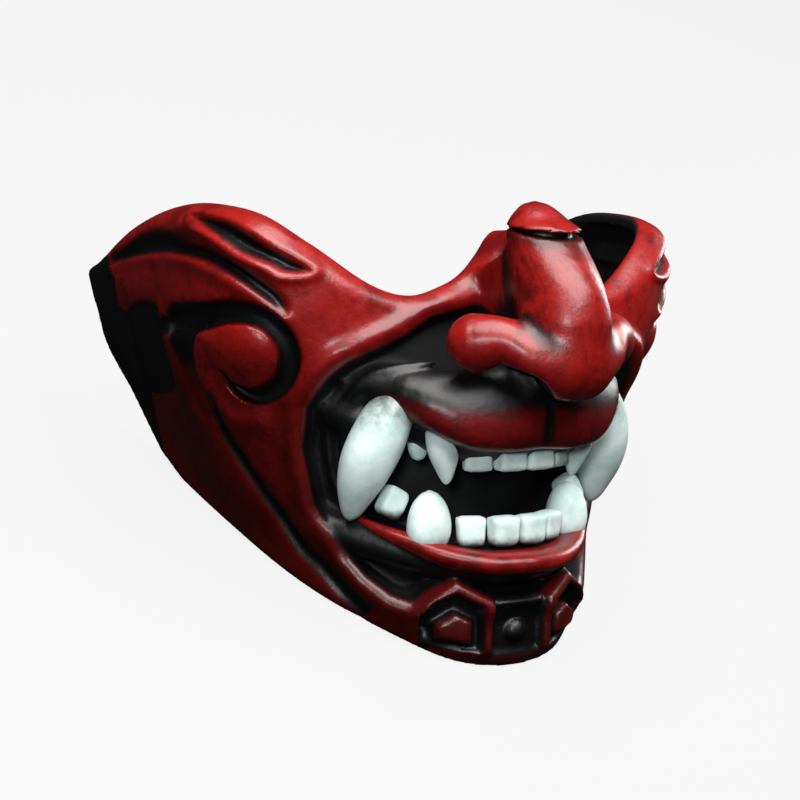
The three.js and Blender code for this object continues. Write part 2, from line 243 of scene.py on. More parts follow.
def belowLowerEdge():    # distance outside the rim, in side view
    nearest = np.full((len(ys), len(zs)), farAway, np.float32)
    y, z = ys[:, None], zs[None, :]
    side = np.ones_like(nearest)
    for (y0, z0), (y1, z1) in zip(shell["lowerEdge"], shell["lowerEdge"][1:]):
        dy, dz = y1 - y0, z1 - z0
        t = np.clip(((y - y0) * dy + (z - z0) * dz) / (dy * dy + dz * dz), 0, 1)
        away = (y - y0 - t * dy) ** 2 + (z - z0 - t * dz) ** 2
        closer = away < nearest
        nearest = np.where(closer, away, nearest)
        side = np.where(closer, -np.sign(dy * (z - z0) - dz * (y - y0)), side)
    return (side * np.sqrt(nearest))[None]


# ---- forms carved on the cheek, drawn as length and height

cheek = {
    "bandLower": [(0, 13), (9, 12), (18, 10), (26, 8), (35, 2), (43, -2), (50, -6), (55, -11), (61, -20),
                  (63, -33), (60, -51), (54, -60), (49, -67), (43, -73), (36, -78), (30, -80), (25, -76),
                  (19, -72), (8, -79), (-8, -79), (-8, 13)],
    "hollowDepth": 6.5,
    "rimBead": 2.2,
    "noseRoot": (7, 17),    # how far the band comes forward beside the nose, and where that starts
    "innerStep": [(50, -12), (54, -20), (55.5, -30), (54, -42), (50, -52), (44, -61), (38, -67), (32, -71),
                  (26, -73)],
    "innerStepHeight": 2.4,
    "leafOne": [(96, 38), (83, 36.8), (75, 33.4), (67.8, 28.6), (62.2, 25), (58.2, 21.4), (64, 20.6),
                (69, 23.2), (76, 26.3), (84, 31.4)],
    "leafOneDepth": 3.4,
    "leafOneSlope": 1.25,
    "leafOneLip": (1.0, 1.3),    # height of the lip round it, and its width
    "leafTwoTop": [(64, 11), (74, 22), (86, 29), (98, 33), (113, 35), (127, 33), (149, 25.5)],
    "leafTwoFloor": [(64, 10), (69, 15), (77, 21), (88, 26), (102, 28), (117, 28), (130, 27), (151, 24.5)],
    "leafTwoDepth": 3.3,
    "leafTwoSpan": (62, 68, 148, 153),    # where it starts and ends
    "leafRidge": [(101, 35), (86, 32), (77, 27), (69, 22), (66, 19)],
    "lowRidge": [(151, 21), (132, 24), (114, 25), (98, 24.5), (86, 21.5), (76, 16.5), (69, 12), (65, 7)],
    "scrollGroove": [(116, 3), (104, 5), (94, 6), (86, 8), (79, 9), (72, 8), (67, 4), (64.5, -3), (65.5, -9),
                     (69, -14), (75, -17), (80, -16.5), (84, -14), (86, -10)],
    "scrollWidths": [3, 3.8, 4.4, 4.4, 4, 3.6, 3.5, 3.4, 3.4, 3.3, 3, 2.6, 2, 1.2],
    "scrollDepth": 4.4,
    "scrollBead": (79.5, -4.5, 11, 2.6),    # place, radius, height
    "scrollArm": [(90, 1), (94, -6), (95, -13), (92, -20), (85, -25), (76, -25)],
    "recess": [(109.5, 8.5), (100, 11), (90, 11.5), (83, 10), (87, 7.5), (93, 3), (97.5, -4), (98.5, -12),
               (96, -20), (100, -26), (107, -22), (109.5, -10)],
    "recessDepth": 1.8,
    "panel": [(139, 8), (118, 10), (115.5, 0), (115.5, -10), (118, -17), (138, -19), (140, -5)],
    "panelDepth": 1.9,
    "rib": [(114, 11), (112, 1), (112, -9), (113.5, -18)],
    "jawGroove": [(95, -20), (93, -28), (88, -35), (79, -47), (69, -60), (64, -66), (57, -71), (49, -79),
                  (44, -83)],
    "rearMargin": [(190, 26), (152, 25), (147.5, 18), (146, 9), (140, 7), (139, -18), (141, -27), (139, -38),
                   (137, -60), (190, -60)],
    "rearMarginHeight": 0.5,
    # height and width of the soft ridges, or grooves below zero
    "ridges": {"leafRidge": (0.8, 1.8), "lowRidge": (1.3, 2.6), "scrollArm": (1.6, 3.4), "rib": (1.5, 1.7),
               "jawGroove": (-1.8, 2.6)},
    "rearFade": 0.55,    # share of the relief that is gone towards the ears
}
chin = {
    "frame": [(36, -84), (26, -78), (19, -72.5), (8.5, -79), (8.5, -120), (36, -120)],
    "frameHeight": 2.6,
    "moat": [(28.5, -84), (25, -79.5), (19, -76.8), (12, -81), (11.2, -87), (11.2, -95.4), (27.4, -93.8)],
    "moatDepth": 4.2,
    "boss": [(24.8, -86.5), (19, -82.6), (14, -85.5), (14, -93), (24.5, -91.3)],
    "bossHeight": 3.8,
    "channelDepth": 1.6,
    "bar": [(-8, -80), (6.5, -80)],
    "barHeight": 3.2,
    "stud": (0, -89.5, 3.8, 3.2),    # place, radius, height
    "rim": (12, -100.5, 0.41),    # length and height of the lower rim's low point, and its rise from there
}


def bowl(distance, width):
    return np.clip(1 - (distance / width) ** 2, 0, 1)


def hump(distance, width):
    return np.exp(-(distance / width) ** 2)


def ridge(name):    # a soft ridge along a line, or a groove
    high, wide = cheek["ridges"][name]
    return high * hump(stroke(cheek[name])[0], wide)


def drawCheek(height, black):
    leaf = region(cheek["leafOne"])
    lipHeight, lipWidth = cheek["leafOneLip"]
    height -= np.clip(-leaf * cheek["leafOneSlope"], 0, cheek["leafOneDepth"])
    height += lipHeight * hump(leaf - lipWidth, lipWidth)
    black = np.maximum(black, smooth(0.4, 2.0, -leaf))

    top, topSide, _ = stroke(cheek["leafTwoTop"])
    floor, floorSide, _ = stroke(cheek["leafTwoFloor"])
    slope = np.where((topSide < 0) == (floorSide > 0), top / (top + floor + 1e-3), 0)
    start, full, fading, end = cheek["leafTwoSpan"]
    inSpan = smooth(start, full, su) * smooth(end, fading, su)
    nearFloor = hump(floor, 1.6)
    deep = cheek["leafTwoDepth"]
    height -= inSpan * np.maximum(deep * slope ** 1.2, deep * nearFloor * (floor < 4))
    paler = 0.4 + 0.6 * smooth(90, 112, su)
    black = np.maximum(black, inSpan * np.maximum(nearFloor, slope ** 0.5 * paler))
    height += ridge("leafRidge")
    height += ridge("lowRidge")

    groove, _, width = stroke(cheek["scrollGroove"], cheek["scrollWidths"])
    height -= cheek["scrollDepth"] * bowl(groove, width) ** 0.8 * smooth(120, 108, su)
    black = np.maximum(black, bowl(groove, width * 0.92) ** 0.5)
    recess = region(cheek["recess"])
    height -= cheek["recessDepth"] * smooth(1.2, -1.6, recess)
    black = np.maximum(black, smooth(1, -1.5, recess) * smooth(-16, 1, sz))
    u, z, radius, beadHeight = cheek["scrollBead"]
    height += beadHeight * bowl(np.hypot(su - u, sz - z), radius) ** 0.7
    height += ridge("scrollArm")

    panel = region(cheek["panel"])
    height -= cheek["panelDepth"] * smooth(0.8, -0.8, panel)
    black = np.maximum(black, smooth(0.6, -0.8, panel))
    height += ridge("rib")
    margin = region(cheek["rearMargin"], rounded=False)
    height += cheek["rearMarginHeight"] * smooth(0.6, -0.6, margin)
    black = np.maximum(black, smooth(0.8, -0.8, margin))

    swell, reach = cheek["noseRoot"]
    height += swell * smooth(reach, 4, su) * smooth(12, 26, sz)
    height += ridge("jawGroove")
    black = np.maximum(black, 0.75 * hump(stroke(cheek["jawGroove"])[0], 2.2))
    height *= 1 - cheek["rearFade"] * smooth(98, 112, su)
    return height, black


def drawHollow(height, black):    # the sunk field round the mouth, below the band
    hollow = region(cheek["bandLower"], rounded=False)
    height += cheek["rimBead"] * hump(hollow - 3, 3.2)
    height = np.where(hollow < 0, height * smooth(-3, 0, hollow), height)
    height -= cheek["hollowDepth"] * smooth(0.3, -3.4, hollow)
    inner, _, _ = stroke(cheek["innerStep"])
    height += cheek["innerStepHeight"] * hump(inner, 1.5) * smooth(0, -2, hollow)
    return height, np.maximum(black, smooth(0.2, -1.2, hollow))


def drawChin(height, black):
    moat = region(chin["moat"], rounded=False)
    boss = region(chin["boss"], rounded=False)
    lowLength, lowHeight, rise = chin["rim"]
    fade = smooth(2, 7, sz - lowHeight - rise * (np.abs(su) - lowLength))    # nothing stands out at the rim
    inFrame = smooth(0.7, -0.7, region(chin["frame"], rounded=False))
    height += chin["frameHeight"] * inFrame * fade * smooth(33, 25, su)
    height -= chin["moatDepth"] * smooth(0.6, -0.8, moat) * fade
    height += chin["bossHeight"] * smooth(0.8, -1.2, boss) * fade
    channel = smooth(9, 7.6, np.abs(su)) * smooth(-77, -80, sz) * smooth(-98, -94.5, sz)
    height -= chin["channelDepth"] * channel
    height += chin["barHeight"] * hump(stroke(chin["bar"])[0], 1.6)
    u, z, radius, studHeight = chin["stud"]
    height += studHeight * bowl(np.hypot(su - u, sz - z), radius) ** 0.6
    black = np.maximum(black, smooth(0.5, -0.5, moat) * smooth(-0.6, 0.6, boss))
    return height, np.maximum(black, channel)


def drawRelief():    # height and blackness over the unrolled shell
    height = np.zeros((len(sheetLengths), len(zs)), np.float32)
    black = np.zeros_like(height)
    for draw in (drawCheek, drawHollow, drawChin):
        height, black = draw(height, black)
    return height, black


# ---- nose, lips, gums and muzzle, as solid forms

nose = {
    # height, half width, depth of the middle, half depth
    "sections": [
        (-16.4, 0.6, -84, 0.6), (-15.4, 3.9, -83.9, 3.8), (-12.8, 7.6, -83.4, 7.4), (-9, 10.3, -83.5, 10),
        (-3, 12.2, -83.6, 12), (3.7, 13, -82.9, 13.4), (8.2, 13.3, -82, 14.4), (17, 12.7, -77.8, 16),
        (24, 12.3, -74.6, 14.2), (30.3, 11.9, -71.6, 11.4), (34.4, 10.9, -70.2, 11),
        (37.5, 8.8, -67.9, 7.4), (40, 6.6, -66.9, 5.8), (42.1, 4.2, -66, 3.4), (43.2, 0.6, -65.8, 0.6)],
    # places along each rod, with its radius there
    "neck": [(0, -55, 30, 4.5), (0, -58, 20, 6), (0, -62, 8, 7), (0, -66, -2, 9)],
    "wing": [(24.6, -70.7, 0.8, 8.8), (19, -77.5, 1.4, 6.9), (13, -83, -3.2, 6.8), (5, -86, -7, 7.5)],
    "hollow": [(0, -59, 18, 5), (0, -63, 10, 6.5), (0, -65, 1, 6.5)],
    # middle and half thickness, depths, heights, slope of the top
    "sideWall": ((8.4, 2.2), (-73, -50), (-14, 26.5), -0.4),
    "nostril": (14, -77, -14),
    "nostrilRadii": (9, 11, 9.6),
    # how wide the black beside the nose is, by height
    "wedge": [(-20, 8), (-6, 14), (0, 20), (8, 20), (12, 5.5), (20, 2.9), (28, 1.7), (34, 0.8), (60, 0.5)],
    "capSlit": (34.2, 0.17, -70),    # its height and slope, and the depth where it has that height
    "slitDepth": 3.2,
    "slitGap": (0.3, 0.8),    # half its width at the back, and how much more in front
    "capOverhang": 0.7,
    "valleyBlack": 0.55,    # how black it is between the wing and the column, and under the slit
    "slitBlack": 0.42,
    "backBlend": 3,
    "wingBlend": 5.5,
    "nostrilBlend": 2.4,
    "hollowBlend": 3,
    "faceBlend": 1.8,
}
mouth = {
    "cupDepth": 16,    # the black hollow behind the teeth
    "cupWall": 3,
    "cupBlend": (2, 2.5),    # where it meets the shell, behind and in front
    "draft": 0.75,    # how fast its sides draw in towards the back, from this depth on
    "draftStart": -38,
    "outline": [(-10, -33), (0, -33), (22, -33), (34, -24), (44, -13), (49, -30), (46, -54), (30, -62),
                (0, -66), (-10, -66)],
    # blend with what is there, and places along each form with its radius there
    "black": {
        "muzzle": (5, [(44, -40, -12, 5), (36, -49, -15, 7.5), (24, -57.5, -18, 10), (10, -62, -18, 11.5),
                       (0, -63, -18, 11.5)]),
        "fold": (2, [(52, -34, -24, 1.6), (48, -41, -15, 2.3), (42, -47.5, -9.5, 2.4), (34, -52.5, -7, 1.4),
                     (27, -54, -6, 0.4)]),
        "upperGum": (3, [(51, -31, -20, 6), (42.5, -38, -24, 6.5), (32, -44.5, -25.5, 5), (20, -54, -29, 7),
                         (7, -58.5, -29.5, 7), (0, -59, -29.5, 7)]),
        "lowerGum": (3, [(50, -21, -57, 6), (41, -32, -61, 6), (30, -43.5, -65, 6), (18, -52, -68, 6),
                         (6, -56.5, -69, 6), (0, -57, -69, 6)]),
    },
    # blend, how far red runs on above it, squash, and places along it
    "red": {
        "upperLip": (5, 4.5, (1, 1, 1.3), [
            (38, -55, -15.5, 2.2), (33, -60, -19.5, 3.6), (24, -65.6, -24.6, 4.7), (12, -69.2, -25.8, 5.1),
            (0, -70.2, -25.4, 4.9)]),
        "lowerLip": (1.6, 0, (1, 1.3, 0.75), [
            (42, -35, -55, 1), (38.5, -40, -57.6, 2), (33, -46, -60.4, 3), (24, -54.5, -64.7, 4),
            (12, -61.5, -67.2, 4.7), (0, -64, -67.6, 4.8)]),
    },
    # height where the upper lip's red turns black, across the mouth
    "lipShade": [(0, -17.4), (12, -17.4), (24, -17.8), (33, -17), (38, -16.4), (60, -8)],
    "philtrum": [(0, -76.5, -16, 1.5), (0, -76.2, -24, 1.5), (0, -74.6, -33, 1.5)],
    "philtrumBlend": 1.2,
}


def rod(points, x, y, z, squash=(1, 1, 1)):    # distance to a rod of changing radius
    line = curve(points, steps=6)
    sx, sy, sk = squash
    result = None
    for (x0, y0, z0, r0), (x1, y1, z1, r1) in zip(line, line[1:]):
        dx, dy, dz = (x1 - x0) / sx, (y1 - y0) / sy, (z1 - z0) / sk
        px, py, pz = (x - x0) / sx, (y - y0) / sy, (z - z0) / sk
        t = np.clip((px * dx + py * dy + pz * dz) / (dx * dx + dy * dy + dz * dz + tiny), 0, 1)
        away = np.sqrt((px - t * dx) ** 2 + (py - t * dy) ** 2 + (pz - t * dz) ** 2) - (r0 + t * (r1 - r0))
        result = away if result is None else np.minimum(result, away)
    return result


def egg(centre, radii, x, y, z):
    (a, b, c), (ra, rb, rc) = centre, radii
    level = np.sqrt(((x - a) / ra) ** 2 + ((y - b) / rb) ** 2 + ((z - c) / rc) ** 2) - 1
    return level * min(radii)


windowMargin = 9    # past the rod, further than any blend


def carve(points, squash=(1, 1, 1)):    # a rod with the window around it
    points = np.asarray(points, float)
    reach = points[:, 3].max() + windowMargin
    place, x, y, z = window(points[:, :3].min(0) - reach, points[:, :3].max(0) + reach)
    return place, rod(points, x, y, z, squash)


def noseColumn(x, y, z, aboveSlit):
    halfWidth, middle, halfDepth = through(nose["sections"], z.ravel())
    overhang = nose["capOverhang"] * smooth(-0.5, 0.8, aboveSlit) * smooth(42.5, 37, z)
    wide, deep = halfWidth + overhang, halfDepth + overhang
    level = np.maximum(np.sqrt((x / wide) ** 2 + ((y - middle) / deep) ** 2), 0.1)
    steepness = np.sqrt((x / wide ** 2) ** 2 + ((y - middle) / deep ** 2) ** 2)
    taper = np.gradient(halfWidth, z.ravel())
    column = level * (level - 1) / np.maximum(steepness, 0.007) / np.sqrt(1 + taper ** 2)
    return np.maximum(column, np.maximum(z - nose["sections"][-1][0], nose["sections"][0][0] - z))


def noseForm():
    place, x, y, z = window((0, -104, -24), (34, -40, 50))
    slitHeight, slope, middleDepth = nose["capSlit"]
    aboveSlit = z - slitHeight - slope * (y - middleDepth)
    column = noseColumn(x, y, z, aboveSlit)
    narrow, wider = nose["slitGap"]
    gap = narrow + wider * smooth(-64, -80, y)
    slit = np.maximum(np.abs(aboveSlit) - gap, -(column + nose["slitDepth"]))
    neck = rod(nose["neck"], x, y, z)
    wings = rod(nose["wing"], x, y, z)
    (side, halfThick), (front, back), (bottom, top), rise = nose["sideWall"]
    wall = np.maximum(np.abs(x - side) - halfThick, np.maximum(front - y, y - back))
    wall = np.maximum(wall, np.maximum(bottom - z, z - top - rise * (y - (front + back) / 2)))
    body = cut(join(join(column, neck, nose["backBlend"]), wall, nose["backBlend"]), slit, 0.6)
    body = join(body, wings, nose["wingBlend"])
    nostril = egg(nose["nostril"], nose["nostrilRadii"], x, y, z)
    body = cut(body, nostril, nose["nostrilBlend"])
    red = join(join(column, wings, nose["wingBlend"]), neck, nose["backBlend"])
    return place, body, red, noseBlack(z, body, nostril, column, wings, aboveSlit)


def noseBlack(z, body, nostril, column, wings, aboveSlit):    # black beside, above and under the nose
    wedge = through(nose["wedge"], z.ravel())[0]
    nearest = np.minimum(column, wings)
    beside = smooth(0, -1.2, column - wedge) * smooth(0.2, 0.9, column) * smooth(1.2, 3, wings)
    beside = beside * smooth(-5, 3, z)
    valley = smooth(5, 1, np.abs(column - wings)) * smooth(-0.6, 0.6, nearest)
    valley = nose["valleyBlack"] * valley * smooth(4, 2, nearest) * smooth(-4, 3, z)
    underSlit = nose["slitBlack"] * smooth(-6, -1, aboveSlit) * (aboveSlit < 0)
    under = smooth(1.2, 0, nostril) * smooth(-3, -7, z) * smooth(1.6, 0.4, body)
    return np.maximum(np.maximum(np.maximum(beside, valley), underSlit), under)


def hollowOut(field, base, closed, grooved, edge, rounded):    # the wall's inside, and the mouth's dark cup
    thinnest = shell["thinnest"]
    inside = np.maximum(closed + shell["wall"], meet(grooved, edge, rounded) + thinnest)
    underEdge = np.maximum(base + rounded + shell["edgeLip"], grooved + thinnest)
    field = meet(field, -np.minimum(inside, underEdge), shell["insideBlend"])
    outline = curve(mouth["outline"], steps=5, closed=True)
    flat = outlined(outline, xs[:, None], zs[None, :])[:, None, :]
    flat = flat + mouth["draft"] * np.maximum(gy - mouth["draftStart"], 0)
    depth, wall = mouth["cupDepth"], mouth["cupWall"]
    cup = np.maximum(np.maximum(flat - wall, base + wall), -base - depth - wall)
    behind, inFront = mouth["cupBlend"]
    return cut(join(field, cup, behind), np.maximum(flat, -base - depth), inFront)


def buildShell():
    base = shellLevel()
    height, black = drawRelief()
    edge = onShell(aboveUpperEdge())
    rounded = through(shell["edgeRound"], lengthOf)[0].astype(np.float32)[..., None]
    rim = belowLowerEdge()
    rimBead = shell["rimBead"] * hump(rim + 1.5, 3.5) * smooth(-45, -25, gy)
    field = meet(base - onShell(height) - rimBead, edge, rounded)
    print("shell and relief")

    grooved = base - onShell(lowestNear(np.minimum(height, 0), shell["grooveReach"]))
    field = hollowOut(field, base, meet(base, edge, rounded), grooved, edge, rounded)
    red = np.full(field.shape, 20, np.float32)    # distance to the forms that stay red in the hollow
    dark = np.zeros(field.shape, np.float32)    # black around the nose and over the upper lip

    place, form, redForm, noseDark = noseForm()
    field[place] = join(field[place], form, nose["faceBlend"])
    red[place] = np.minimum(red[place], redForm)
    dark[place] = noseDark
    lipTop = through(mouth["lipShade"], xs)[0][:, None, None]
    lipShade = smooth(lipTop - 5, lipTop + 4, gz) * (gz < -2) * (gx < 44) * (gy > -78)
    dark = np.maximum(dark, lipShade * smooth(0.6, 1.6, red))
    for blend, points in mouth["black"].values():
        place, form = carve(points)
        field[place] = join(field[place], form, blend)
    for blend, over, squash, points in mouth["red"].values():
        place, form = carve(points, squash)
        field[place] = join(field[place], form, blend)
        red[place] = np.minimum(red[place], form - over * smooth(-26, -20, zs[place[2]])[None, None])
    place, form = carve(mouth["philtrum"])
    field[place] = cut(field[place], form, mouth["philtrumBlend"])
    dark[place] = np.maximum(dark[place], smooth(1, 0.1, form))
    place, form = carve(nose["hollow"])
    field[place] = cut(field[place], form, nose["hollowBlend"])
    field = meet(field, rim, shell["rimBlend"])
    print("nose, lips and gums")
    return field, base, edge, red, black, dark, rim


# ---- from distances to a mesh

def skin(field, low, step):    # one point in each cell that the surface crosses, and faces between them
    solid = field < 0
    count = np.zeros(tuple(n - 1 for n in field.shape), np.int8)
    corners = [(i, j, k) for i in (0, 1) for j in (0, 1) for k in (0, 1)]
    nx, ny, nz = count.shape
    for i, j, k in corners:
        count += solid[i:i + nx, j:j + ny, k:k + nz]
    cells = np.argwhere((count > 0) & (count < 8))
    values = {c: field[tuple((cells + c).T)] for c in corners}
    total = np.zeros((len(cells), 3))
    hits = np.zeros(len(cells))
    for a in corners:
        for axis in range(3):
            if a[axis]:
                continue
            b = tuple(v + (n == axis) for n, v in enumerate(a))
            va, vb = values[a], values[b]
            crossed = (va < 0) != (vb < 0)
            t = np.where(crossed, va / np.where(crossed, va - vb, 1), 0)
            point = np.array(a, float)[None] + t[:, None] * (np.arange(3) == axis)
            total += np.where(crossed[:, None], point, 0)
            hits += crossed
    points = low + (cells + total / hits[:, None]) * step
    number = np.full(count.shape, -1, np.int32)
    number[tuple(cells.T)] = np.arange(len(cells))
    faces = []
    for axis in range(3):
        b, c = (axis + 1) % 3, (axis + 2) % 3
        first = [slice(None)] * 3
        second = [slice(None)] * 3
        first[axis], second[axis] = slice(0, -1), slice(1, None)
        starts, ends = solid[tuple(first)], solid[tuple(second)]
        edges = np.argwhere(starts != ends)
        keep = (edges[:, b] > 0) & (edges[:, c] > 0)
        keep &= (edges[:, b] < field.shape[b] - 1) & (edges[:, c] < field.shape[c] - 1)
        edges = edges[keep]
        outward = starts[tuple(edges.T)]
        quad = []
        for db, dc in ((-1, -1), (0, -1), (0, 0), (-1, 0)):
            at = edges.copy()
            at[:, b] += db
            at[:, c] += dc
            quad.append(number[tuple(at.T)])
        quad = np.stack(quad, -1)
        quad[~outward] = quad[~outward][:, ::-1]
        faces.append(quad)
    return points, np.concatenate(faces)


def sample(volume, points, low, step):    # reads a block at places in it
    place = (points - low) / step
    top = np.array(volume.shape) - 2
    i = np.clip(place.astype(int), 0, top)
    t = np.clip(place - i, 0, 1)
    result = 0
    for a in (0, 1):
        for b in (0, 1):
            for c in (0, 1):
                share = (t[:, 0] if a else 1 - t[:, 0]) * (t[:, 1] if b else 1 - t[:, 1])
                share = share * (t[:, 2] if c else 1 - t[:, 2])
                result = result + share * volume[i[:, 0] + a, i[:, 1] + b, i[:, 2] + c]
    return result


def blurred(volume, reach, passes=2):
    for _ in range(passes):
        for axis in range(3):
            margins = [(reach + 1, reach) if n == axis else (0, 0) for n in range(3)]
            padded = np.pad(volume, margins, mode="edge")
            total = np.cumsum(padded, axis=axis, dtype=np.float32)
            high = np.take(total, range(2 * reach + 1, total.shape[axis]), axis=axis)
            low = np.take(total, range(0, total.shape[axis] - 2 * reach - 1), axis=axis)
            volume = (high - low) / (2 * reach + 1)
    return volume


def makeObject(name, points, faces, material, limit=None):
    mesh = bpy.data.meshes.new(name)
    mesh.vertices.add(len(points))
    mesh.vertices.foreach_set("co", toGround(points).astype(np.float32).ravel())
    mesh.loops.add(faces.size)
    mesh.loops.foreach_set("vertex_index", faces.astype(np.int32).ravel())
    mesh.polygons.add(len(faces))
    mesh.polygons.foreach_set("loop_start", np.arange(0, faces.size, 4, dtype=np.int32))
    mesh.update(calc_edges=True)
    mesh.validate()
    piece = bpy.data.objects.new(name, mesh)
    bpy.context.scene.collection.objects.link(piece)
    if limit:
        modifier = piece.modifiers.new("Fewer", "DECIMATE")
        modifier.ratio = min(1, limit / (2 * len(faces)))
        finer = bpy.data.meshes.new_from_object(piece.evaluated_get(bpy.context.evaluated_depsgraph_get()))
        piece.modifiers.clear()
        piece.data = finer
    piece.data.polygons.foreach_set("use_smooth", np.ones(len(piece.data.polygons), bool))
    piece.data.materials.append(material)
    return piece


def readPoints(piece, key):
    flat = np.empty(len(piece.data.vertices) * 3, np.float32)
    piece.data.vertices.foreach_get(key, flat)
    return flat.reshape(-1, 3).T


def unleaned(x, y, z):
    lean = math.radians(pose["leanBack"])
    return np.stack([x, y * math.cos(lean) - z * math.sin(lean), y * math.sin(lean) + z * math.cos(lean)], -1)


def fromGround(piece):    # its points in the upright frame
    x, y, z = readPoints(piece, "co").astype(float) * 1000
    return unleaned(x, y + pose["restSetback"], z) + pose["chinTip"]


def paintValue(piece, name, values):
    layer = piece.data.attributes.new(name, "FLOAT", "POINT")
    layer.data.foreach_set("value", np.asarray(values, np.float32))


def mirrored(half):
    return np.concatenate([half[::-1], half])


# ---- finishes

class Value:    # a socket that takes part in sums
    def __init__(self, tree, socket):
        self.tree, self.socket = tree, socket

    def sum(self, operation, first, second):
        maths = self.tree.nodes.new("ShaderNodeMath")
        maths.operation = operation
        for slot, item in zip(maths.inputs, (first, second)):
            if isinstance(item, Value):
                self.tree.links.new(item.socket, slot)
            else:
                slot.default_value = item
        return Value(self.tree, maths.outputs[0])

    def __add__(self, other): return self.sum("ADD", self, other)
    def __radd__(self, other): return self.sum("ADD", other, self)
    def __sub__(self, other): return self.sum("SUBTRACT", self, other)
    def __rsub__(self, other): return self.sum("SUBTRACT", other, self)
    def __mul__(self, other): return self.sum("MULTIPLY", self, other)
    def __rmul__(self, other): return self.sum("MULTIPLY", other, self)


class Finish:    # a material and the one way to add a node to it
    def __init__(self, name, constants):
        self.material = bpy.data.materials.new(name)
        self.material.use_nodes = True
        self.tree = self.material.node_tree
        self.shader = self.tree.nodes["Principled BSDF"]
        for socket, value in constants.items():
            self.shader.inputs[socket].default_value = value

    def node(self, kind, settings=None, sockets=None, output=0):
        made = self.tree.nodes.new(kind)
        for key, value in (settings or {}).items():
            setattr(made, key, value)
        for key, value in (sockets or {}).items():
            if isinstance(value, Value):
                self.tree.links.new(value.socket, made.inputs[key])
            else:
                made.inputs[key].default_value = value
        return Value(self.tree, made.outputs[output])

    def feed(self, socket, value):
        self.tree.links.new(value.socket, self.shader.inputs[socket])

    def bump(self, strength, distance, height):
        sockets = {"Strength": strength, "Distance": distance, "Height": height}
        self.feed("Normal", self.node("ShaderNodeBump", None, sockets))

    def noise(self, scale, detail, roughness):
        place = self.node("ShaderNodeTexCoord", output=3)
        return self.node("ShaderNodeTexNoise", None,
                         {"Vector": place, "Scale": scale, "Detail": detail, "Roughness": roughness})

    def painted(self, name):
        return self.node("ShaderNodeAttribute", {"attribute_name": name}, output=2)

    def spread(self, value, low, high):    # 0 below low, 1 above high, smooth between
        return self.node("ShaderNodeMapRange", {"interpolation_type": "SMOOTHSTEP"},
                         {"Value": value, "From Min": low, "From Max": high})

    def mixed(self, factor, first, second):
        return self.node("ShaderNodeMix", {"data_type": "RGBA"}, {0: factor, 6: first, 7: second}, output=2)


def colour(*screen):    # screen values to light values
    light = [(v / 255) / 12.92 if v <= 10 else ((v / 255 + 0.055) / 1.055) ** 2.4 for v in screen]
    return (*light, 1)


lacquer = {
    "deep": colour(42, 3, 4),
    "middle": colour(92, 8, 8),
    "bright": colour(146, 22, 18),
    "black": colour(5, 5, 6),
    "roughness": 0.25,
    "coat": 0.12,
}


def lacquerFinish():
    finish = Finish("red_lacquer", {
        "IOR": 1.46, "Specular IOR Level": 0.42, "Coat Roughness": 0.3, "Coat IOR": 1.5})
    broad = finish.noise(38, 4, 0.6)
    mottle = finish.noise(150, 5, 0.7)
    speck = finish.noise(520, 4, 0.75)
    # black paint in the grooves and inside, and painted shade in creases and recesses
    blackPaintAndCreaseShade = finish.painted("blackPaintAndCreaseShade")
    hollow = finish.painted("hollow")
    # painted shade, darker towards the ears, near the rim, under the chin and low down
    shade = finish.painted("shade")
    # black where the black paint and the painted shade are strongest, broken up by noise
    patchy = blackPaintAndCreaseShade + shade * 0.25 + (mottle - 0.5) * 0.6 + (speck - 0.5) * 0.3
    dark = finish.spread(patchy, 0.3, 0.7)
    tone = finish.spread(broad * 0.55 + mottle * 0.45, 0.36, 0.62)
    red = finish.mixed(tone, lacquer["middle"], lacquer["bright"])
    # darker red from random worn patches, and from the painted shade in creases and low down
    wearAndShade = finish.spread(broad * 0.4 + mottle * 0.4 + speck * 0.2 + blackPaintAndCreaseShade * 0.4 + shade * 0.3, 0.47, 0.7)
    red = finish.mixed(wearAndShade * 0.85, red, lacquer["deep"])
    finish.feed("Base Color", finish.mixed(dark, red, lacquer["black"]))
    finish.feed("Roughness", lacquer["roughness"] + mottle * 0.16 + dark * 0.1 + hollow * 0.2)
    finish.feed("Coat Weight", lacquer["coat"] * (1 - hollow))
    rough = finish.noise(900, 3, 0.6)
    lumps = finish.noise(110, 3, 0.5)
    finish.bump(0.5, 0.0011, lumps * 0.7 + mottle * 0.28 + rough * 0.1)
    return finish.material


# a paler and a darker ivory mixed at random, and the dark of the painted shade at the roots
enamel = {"light": colour(234, 252, 249), "shade": colour(196, 220, 216), "gap": colour(60, 72, 68)}


def enamelFinish():
    finish = Finish("ivory", {"IOR": 1.48, "Coat Weight": 0.12, "Coat Roughness": 0.3,
                              "Subsurface Weight": 0.08, "Subsurface Scale": 0.003})
    broad = finish.noise(90, 4, 0.6)
    streaks = finish.noise(260, 4, 0.65)
    root = finish.painted("root")
    paint = finish.mixed(finish.spread(broad, 0.35, 0.7), enamel["light"], enamel["shade"])
    # painted shade, darkest at the root by the gum
    rootShade = finish.spread(root + (streaks - 0.5) * 0.6, 0.3, 0.95)
    finish.feed("Base Color", finish.mixed(rootShade, paint, enamel["gap"]))
    finish.feed("Roughness", 0.42 + streaks * 0.2)
    finish.bump(0.35, 0.0006, broad * 0.7 + streaks * 0.3)
    return finish.material


redLacquer = lacquerFinish()
ivory = enamelFinish()
print("finishes")


# ---- the face shell

